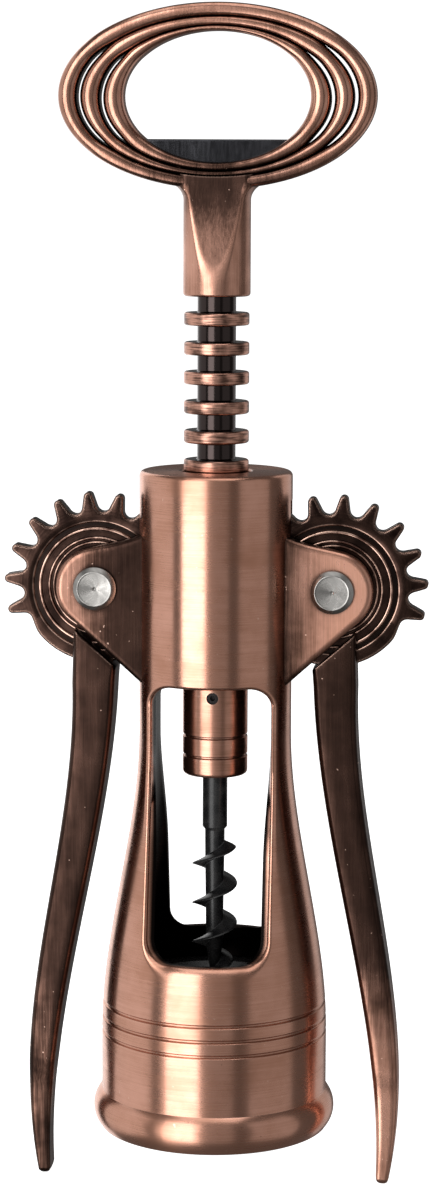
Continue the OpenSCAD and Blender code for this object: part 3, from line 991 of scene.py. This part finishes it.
def wing_section(out, inner, half_t, drawn_in=0.0):
    """A ring of points round the wing between its outer and inner edge."""
    out = Vector(out)
    inner = Vector(inner)
    middle = (out + inner) / 2
    half = (out - inner).length / 2 - drawn_in
    across = (out - inner).normalized()
    half_t -= drawn_in
    soft = min(1.0, half / 2.4, half_t / 2.4)
    corner = [(0.0, half_t * 0.35), (0.10, half_t - 1.05 * soft)]
    corner += [(a * soft, half_t - b * soft)
               for a, b in ((0.20, 0.72), (0.42, 0.40), (0.72, 0.14), (1.05, 0.0))]
    quarter = [(half - a, b) for a, b in corner] + [(half * 0.3, half_t)]
    ring = quarter + [(-u, v) for u, v in reversed(quarter)]
    ring += [(-u, -v) for u, v in quarter] + [(u, -v) for u, v in reversed(quarter)]
    return [(middle.x + across.x * u, v, middle.y + across.y * u) for u, v in ring]


def wing_rings():
    """Sections from the slanted root to the round tip."""
    rings = []
    for k, drawn_in in ((0.0, 0.55), (0.012, 0.30), (0.035, 0.10), (0.07, 0.0), (0.3, 0.0),
                        (0.6, 0.0)):
        out = Vector(WING_ROOT_OUT).lerp(Vector(WING_OUT[0]), k)
        inner = Vector(WING_ROOT_IN).lerp(Vector(WING_IN[0]), k)
        rings.append(wing_section(out, inner, WING_HALF_T, drawn_in))
    steps = 52
    for k in range(steps + 1):
        t = k / steps
        out, inner = bezier(WING_OUT, t), bezier(WING_IN, t)
        rings.append(wing_section(out, inner, wing_thickness((out[1] + inner[1]) / 2)))
    out, inner = Vector(WING_OUT[3]), Vector(WING_IN[3])
    middle = (out + inner) / 2
    radius = (out - inner).length / 2
    down = Vector((0.02, -1.0)).normalized()
    end_t = wing_thickness(out.y)
    for k in range(1, 9):
        a = radians(86) * k / 8
        centre = middle + down * (radius * sin(a))
        arm = (out - inner) / 2 * cos(a)
        rings.append(wing_section(centre + arm, centre - arm,
                                  end_t * (0.45 + 0.55 * cos(a))))
    return rings


def lever_wing(label, side, material):
    shape = Shape()
    shape.rings(wing_rings())
    place_lever(shape, side)
    piece(f"{label}_wing_arm", shape, f"{label}_wing", material,
          sharp_angle=42)


# ---- rack, coupler, worm

RACK_BORE_R = 2.13
RACK_CORE_R = 3.1
RINGS = 12
RING_PITCH = 4.722
RING_HALF_T = 1.02
FIRST_RING_Z = 81.10
COUPLER_BORE_R = 2.07
COUPLER_GROOVES = (62.15, 65.4)
SCREW_HOLE_R = 0.97
SCREW_HOLE_Z = 72.0


def rack_sleeve(material):
    low, high = box_mm("rack")
    core, ring, half = RACK_CORE_R, high.x, RING_HALF_T
    profile = [(RACK_BORE_R, low.z), (core, low.z)]
    radii = [0.0, 0.2]
    for i in range(RINGS):
        z = FIRST_RING_Z + RING_PITCH * i
        profile += [(core, z - half), (ring, z - half), (ring, z + half), (core, z + half)]
        radii += [0.3, 0.38, 0.38, 0.3]
    profile += [(core, high.z), (RACK_BORE_R, high.z)]
    radii += [0.2, 0.0]
    shape = Shape()
    shape.lathe(filleted(profile, radii, 4), 112)
    piece("rack_rings", shape, "rack_sleeve", material, nodes=["rack"])


def coupler(material):
    low, high = box_mm("coupler")
    radius, bore = high.x, COUPLER_BORE_R
    profile = [(bore, low.z), (radius, low.z)]
    radii = [0.1, 0.7]
    for z in COUPLER_GROOVES:
        profile += [(radius, z - 0.26), (radius - 0.3, z - 0.10), (radius - 0.3, z + 0.10),
                    (radius, z + 0.26)]
        radii += [0.08, 0.04, 0.04, 0.08]
    profile += [(radius, high.z), (bore, high.z)]
    radii += [0.4, 0.1]
    shape = Shape()
    shape.lathe(filleted(profile, radii, 4), 112)
    way = Shape()
    way.rings([circle(SCREW_HOLE_R, 40, h) for h in (2.6, 7.0)])
    way.mapped(to_front(0.0, SCREW_HOLE_Z))
    piece("coupler_turned", shape, "screw_and_handle", material,
          nodes=["coupler"], carve=way, sharp_angle=34)


WORM_PITCH = 6.6
BLADE_R = 3.72
BLADE_TOP = 47.1
SHANK_R, SHANK_LOW = 2.04, 50.0
NECK_R, NECK_LOW = 1.62, 49.5
CORE_R, POINT_TOP = 1.45, 33.0


def worm_core(z):
    """Radius of the worm's core: shank, small step, taper to a point."""
    low, _ = box_mm("worm")
    if z > SHANK_LOW:
        return SHANK_R
    if z > NECK_LOW:
        return lerp(NECK_R, SHANK_R, (z - NECK_LOW) / (SHANK_LOW - NECK_LOW))
    if z > POINT_TOP:
        return lerp(CORE_R, NECK_R, smoothstep((z - POINT_TOP) / (NECK_LOW - POINT_TOP)))
    rise = max(0.0, (z - low.z) / (POINT_TOP - low.z))
    return max(0.02, CORE_R * sin(pi / 2 * rise) ** 0.8)


def worm_blade(shape):
    """A right-handed blade that runs in below the shank and thins towards the tip."""
    low, _ = box_mm("worm")
    top_z = BLADE_TOP + 0.5
    root_half_t, run_in_length, taper_length = 0.86, 0.75, 7.0
    rings = []
    for z in spaced(low.z + 0.5, top_z, 230):
        angle = FULL_TURN * (z - BLADE_TOP) / WORM_PITCH
        run_in = smoothstep((top_z - z) / run_in_length)
        taper = sin(pi / 2 * min(1.0, (z - low.z) / taper_length)) ** 0.85
        core = worm_core(z)
        reach = core * 0.9 + (BLADE_R * taper - core * 0.9) * run_in
        reach = max(reach, core * 0.9 + 0.02)
        thick = root_half_t * (0.25 + 0.75 * taper) * (0.3 + 0.7 * run_in)
        root = core * 0.75
        section = [(root, thick), (lerp(root, reach, 0.45), 0.50 * thick),
                   (lerp(root, reach, 0.85), 0.05 * thick), (reach - 0.05, -0.12),
                   (reach, -0.22), (reach - 0.06, -0.31), (lerp(root, reach, 0.8), -0.46 * thick),
                   (lerp(root, reach, 0.4), -0.72 * thick), (root, -thick)]
        rings.append([(r * cos(angle), r * sin(angle), z + h) for r, h in section])
    shape.rings(rings)


def worm(material):
    low, high = box_mm("worm")
    shape = Shape()
    heights = [high.z - 0.01, SHANK_LOW + 0.05, SHANK_LOW, NECK_LOW, NECK_LOW - 0.1]
    heights += spaced(heights[-1], low.z, 40)[1:]
    profile = [(0.0, heights[0])] + [(worm_core(z), z) for z in heights] + [(0.0, low.z)]
    shape.lathe(profile, 48, closed=False)
    worm_blade(shape)
    piece("worm_coated", shape, "screw_and_handle", material,
          nodes=["worm"], sharp_angle=48)


# ---- handle

HANDLE_LOW, HANDLE_HIGH = box_mm("handle")
OVAL_A = HANDLE_HIGH.x
OVAL_B = 14.7
OVAL_Z = HANDLE_HIGH.z - OVAL_B
OVAL_HALF_T = 2.7
HANDLE_NECK_R = 5.4
NECK_STEPS = 160
OVAL_EDGES = ((OVAL_A, OVAL_B, OVAL_Z), (22.15, 12.6, OVAL_Z - 0.1),
              (18.45, 11.4, OVAL_Z - 0.4), (14.9, 10.3, OVAL_Z - 0.1))


def oval_ribs(material):
    """Three round-backed ribs, parted by slots at the sides and touching at top and bottom."""
    shape = Shape()
    steps, around = 168, 28
    slot_w, overlap = 0.66, 0.16
    flank_joined, flank_parted = 1.55, 0.9
    for outer, inner in zip(OVAL_EDGES, OVAL_EDGES[1:]):
        rings = []
        for i in range(steps):
            angle = FULL_TURN * i / steps
            across, up = cos(angle), sin(angle)
            far = Vector((outer[0] * across, outer[2] + outer[1] * up))
            near = Vector((inner[0] * across, inner[2] + inner[1] * up))
            gap = slot_w * (1 - smoothstep((abs(up) - 0.45) / 0.28)) - overlap
            out_gap = gap if outer is not OVAL_EDGES[0] else 0.0
            in_gap = gap if inner is not OVAL_EDGES[-1] else 0.0
            direction = (far - near).normalized()
            far -= direction * out_gap / 2
            near += direction * in_gap / 2
            middle = (far + near) / 2
            half = (far - near).length / 2
            edge = lerp(flank_joined, flank_parted, smoothstep((gap + overlap) / 0.5))
            rings.append(rib_section(middle, direction, half, edge, around))
        shape.rings(rings, close_rings=True)
    piece("handle_oval", shape, "screw_and_handle", material,
          nodes=["handle"], sharp_angle=60)


def rib_section(middle, direction, half, edge, around):
    """A rib across the oval: flat flanks up to edge, and a domed front and back."""
    power = 2 / 2.2
    depth = OVAL_HALF_T
    points = []
    for k in range(around):
        a = FULL_TURN * k / around
        c, s = cos(a), sin(a)
        u = half * copysign(abs(c) ** power, c)
        dome = edge * min(1.0, abs(s) * 1e6) + (depth - edge) * abs(s) ** power
        v = copysign(dome, s)
        points.append((middle.x + direction.x * u, v, middle.y + direction.y * u))
    return points


def smooth_min(a, b, blend):
    share = max(blend - abs(a - b), 0.0) / blend
    return min(a, b) - share * share * blend / 4


def handle_neck(material):
    """The round socket below the oval, with a sloping facet at front and back."""
    radius = HANDLE_NECK_R
    low = HANDLE_LOW.z
    facet_low, facet_high, facet_y = 139.3, 155.5, 2.72
    fillet, fillet_top = 2.6, 155.0
    level, top = 148.0, 157.0
    side_x, side_width, crown_low, crown_height, squeeze = 4.9, 2.4, 152.4, 2.6, 0.62
    rows = [(low, 0.5), (low + 0.04, 0.32), (low + 0.16, 0.14), (low + 0.34, 0.03),
            (low + 0.5, 0.0)]
    rows += [(z, 0.0) for z in spaced(low + 0.8, top, 84)]

    def facet(z):
        share = (z - facet_low) / (facet_high - facet_low)
        return radius - (radius - facet_y) * min(1.0, max(-0.2, share))

    def spread(z):
        rise = min(1.0, max(0.0, (z - (fillet_top - fillet)) / fillet))
        return 1 + fillet * (1 - sqrt(1 - rise ** 2)) * 0.9 / radius

    def under_oval(x):
        """Height at which the neck meets the valley inside the outer rib."""
        a, b, z = OVAL_EDGES[1]
        return z - b * sqrt(1 - (x / a) ** 2)

    rings = []
    for z, draw in rows:
        ring = []
        for k in range(NECK_STEPS):
            angle = FULL_TURN * k / NECK_STEPS
            limit = facet(z) / max(0.05, abs(sin(angle)))
            r = smooth_min(radius - draw, limit, 0.30)
            x = r * cos(angle) * spread(z)
            share = max(0.0, (z - level) / (top - level))
            lifted = lerp(level, under_oval(x), share) if z > level else z
            buried = (smoothstep((abs(x) - side_x) / side_width)
                      * smoothstep((z - crown_low) / crown_height))
            ring.append((x, r * sin(angle) * (1 - squeeze * buried), lifted))
        rings.append(ring)
    rings.append([(x, 0.55 * y, z - 0.25) for x, y, z in rings[-1]])
    shape = Shape()
    shape.rings(rings)
    # The round pocket under the neck, in which the rack's top end sits.
    shape.lathe([(3.45, low - 0.02), (3.3, low + 0.05), (3.3, low + 0.3)], 64, closed=False)
    piece("handle_neck", shape, "screw_and_handle", material,
          sharp_angle=50)


def opener_plate(material):
    """The D-shaped cap lifter that closes the bottom of the oval."""
    _, high = box_mm("opener_insert")
    a, b, centre_z = OVAL_EDGES[3]

    def outline(inset):
        chord = high.z - inset
        reach_a, reach_b = a + 0.5 - inset, b + 0.5 - inset
        start = asin((chord - centre_z) / reach_b)
        return [(reach_a * cos(t), centre_z + reach_b * sin(t))
                for t in spaced(pi - start, FULL_TURN + start, 40)]

    half_t, rounding = 1.1, 0.45
    rim = [(rounding * (1 - sin(t)), rounding * (1 - cos(t))) for t in quarter_turn(4)]
    layers = [(inset, -half_t + drop) for inset, drop in rim]
    layers += [(inset, half_t - drop) for inset, drop in reversed(rim)]
    shape = Shape()
    shape.slab(outline, layers)
    piece("opener_plate", shape, "screw_and_handle", material,
          nodes=["opener_insert"])


# ---- finishes on the CAD nodes

def paint_nodes(material, *names):
    for name in names:
        obj = frame["nodes"][name]
        obj.data.materials.clear()
        obj.data.materials.append(material)


# ---- stage, light and camera

VIEW_TARGET = Vector((0.00012, 0.0, 0.08855))
VIEW_DISTANCE = 0.5037
VIEW_AZIMUTH = radians(5.5)
VIEW_PITCH = radians(8.0)
VIEW_ROLL = radians(0.22)
VIEW_LENS = 94.1
LIGHTS_AIM = 0.09


def make_camera():
    data = bpy.data.cameras.new("camera")
    data.lens = VIEW_LENS
    data.sensor_width = 36.0
    data.clip_start = 0.01
    camera = add_object("camera", data)
    back = bearing(VIEW_AZIMUTH, VIEW_PITCH)
    camera.location = VIEW_TARGET + back * VIEW_DISTANCE
    turn = (-back).to_track_quat("-Z", "Y").to_matrix()
    roll = Matrix.Rotation(VIEW_ROLL, 3, "Z")
    camera.rotation_euler = (turn @ roll).to_euler()
    bpy.context.scene.camera = camera


def make_floor():
    size, gap = 4.0, 0.0002
    mesh = bpy.data.meshes.new("floor")
    z = cad_box[0].z - gap
    mesh.from_pydata([(-size, -size, z), (size, -size, z), (size, size, z), (-size, size, z)],
                     [], [(0, 1, 2, 3)])
    floor = add_object("floor", mesh)
    p = Paint("pale_floor")
    p.surface((0.90, 0.90, 0.90, 1.0), 0.8, metallic=0.0)
    p.shader.inputs["Emission Color"].default_value = (1.0, 1.0, 1.0, 1.0)
    p.shader.inputs["Emission Strength"].default_value = 1.0
    floor.data.materials.append(p.material)
    floor.visible_glossy = False
    floor.visible_shadow = False


def softbox(name, azimuth, elevation, distance, width, height, glow):
    """A rectangular light of even glow; azimuth 0 is in front, positive to the right."""
    data = bpy.data.lights.new(name, "AREA")
    data.shape = "RECTANGLE"
    data.size = width
    data.size_y = height
    data.energy = glow * pi * width * height
    light = add_object(name, data)
    back = bearing(radians(azimuth), radians(elevation))
    light.location = Vector((0, 0, LIGHTS_AIM)) + back * distance
    light.rotation_euler = (-back).to_track_quat("-Z", "Y").to_euler()


def make_lights():
    # Name, azimuth, elevation, distance, width, height and glow.
    for light in (("key", -28, 0, 0.85, 0.55, 1.5, 3.15),
                  ("left_wall", -98, 0, 0.9, 1.35, 1.5, 0.64),
                  ("left_back", -150, 0, 0.9, 0.5, 1.5, 1.1),
                  ("right_wall", 66, 0, 0.9, 0.85, 1.5, 0.28),
                  ("right_back", 140, 0, 0.9, 0.6, 1.5, 0.45),
                  ("front_fill", 8, 0, 0.85, 0.5, 1.5, 0.2),
                  ("top", 0, 78, 0.9, 0.8, 0.8, 1.3)):
        softbox(*light)


def make_world():
    """White behind the object, and a dim room for what the metal reflects."""
    world = bpy.data.worlds.new("studio")
    world.use_nodes = True
    bpy.context.scene.world = world
    tree = world.node_tree
    tree.nodes.clear()
    out, mix, rays, room, white = (
        tree.nodes.new("ShaderNode" + kind)
        for kind in ("OutputWorld", "MixShader", "LightPath", "Background", "Background"))
    room.inputs["Color"].default_value = (1.0, 0.98, 0.96, 1.0)
    room.inputs["Strength"].default_value = 0.12
    white.inputs["Color"].default_value = (1.0, 1.0, 1.0, 1.0)
    white.inputs["Strength"].default_value = 1.15
    tree.links.new(rays.outputs["Is Camera Ray"], mix.inputs[0])
    tree.links.new(room.outputs[0], mix.inputs[1])
    tree.links.new(white.outputs[0], mix.inputs[2])
    tree.links.new(mix.outputs[0], out.inputs[0])


# ---- the whole object

make_camera()
make_floor()
make_lights()
make_world()
bpy.context.scene.view_settings.view_transform = "Standard"

cast = copper("cast_copper_turned", "around", age=0.05, rough=0.26, shine=0.7, inside=True)
# The ears' wide hollow reach adds painted shade close to the barrel.
ear_copper = copper("cast_copper_upright", "along", ear_patina_and_light,
                    rough=0.29, shine=0.4, edge=0.9, hollow=5.0, dim=0.42)
wing_copper = copper("wing_copper", "along", wing_patina_and_light,
                     rough=0.28, shine=0.35, edge=0.85, dim=0.55)
oval_copper = copper("oval_copper", "along", oval_patina_and_shade, rough=0.23, shine=0.0, edge=0.0,
                     hollow=1.7, hollow_dark=0.75, dim=0.6)
neck_copper = copper("neck_copper", "along", neck_patina_and_shade,
                     rough=0.27, shine=0.4, edge=0.12, dim=0.7)
coupler_copper = copper("coupler_copper", "around", age=0.22, rough=0.30, shine=0.5, edge=0.4)

frame_casting(cast)
frame_ears(ear_copper)
rivets()
bottle_seat(moulded_plastic("seat_plastic"))
for label, side in (("left", -1), ("right", 1)):
    lever_gear(label, side, gear_copper(label + "_gear_copper", side))
    lever_wing(label, side, wing_copper)
rack_sleeve(rack_copper("rack_copper"))
coupler(coupler_copper)
worm(black_coating("worm_black"))
oval_ribs(oval_copper)
handle_neck(neck_copper)
opener_plate(gunmetal("opener_gunmetal", (0.045, 0.045, 0.05), 0.10))

paint_nodes(gunmetal("spindle_steel", (0.40, 0.40, 0.41), 0.25), "spindle")
paint_nodes(gunmetal("screw_steel", (0.022, 0.020, 0.020), 0.22), "set_screw")
paint_nodes(gunmetal("washer_steel", (0.50, 0.50, 0.50), 0.30),
            "left_front_washer", "left_back_washer", "right_front_washer", "right_back_washer")
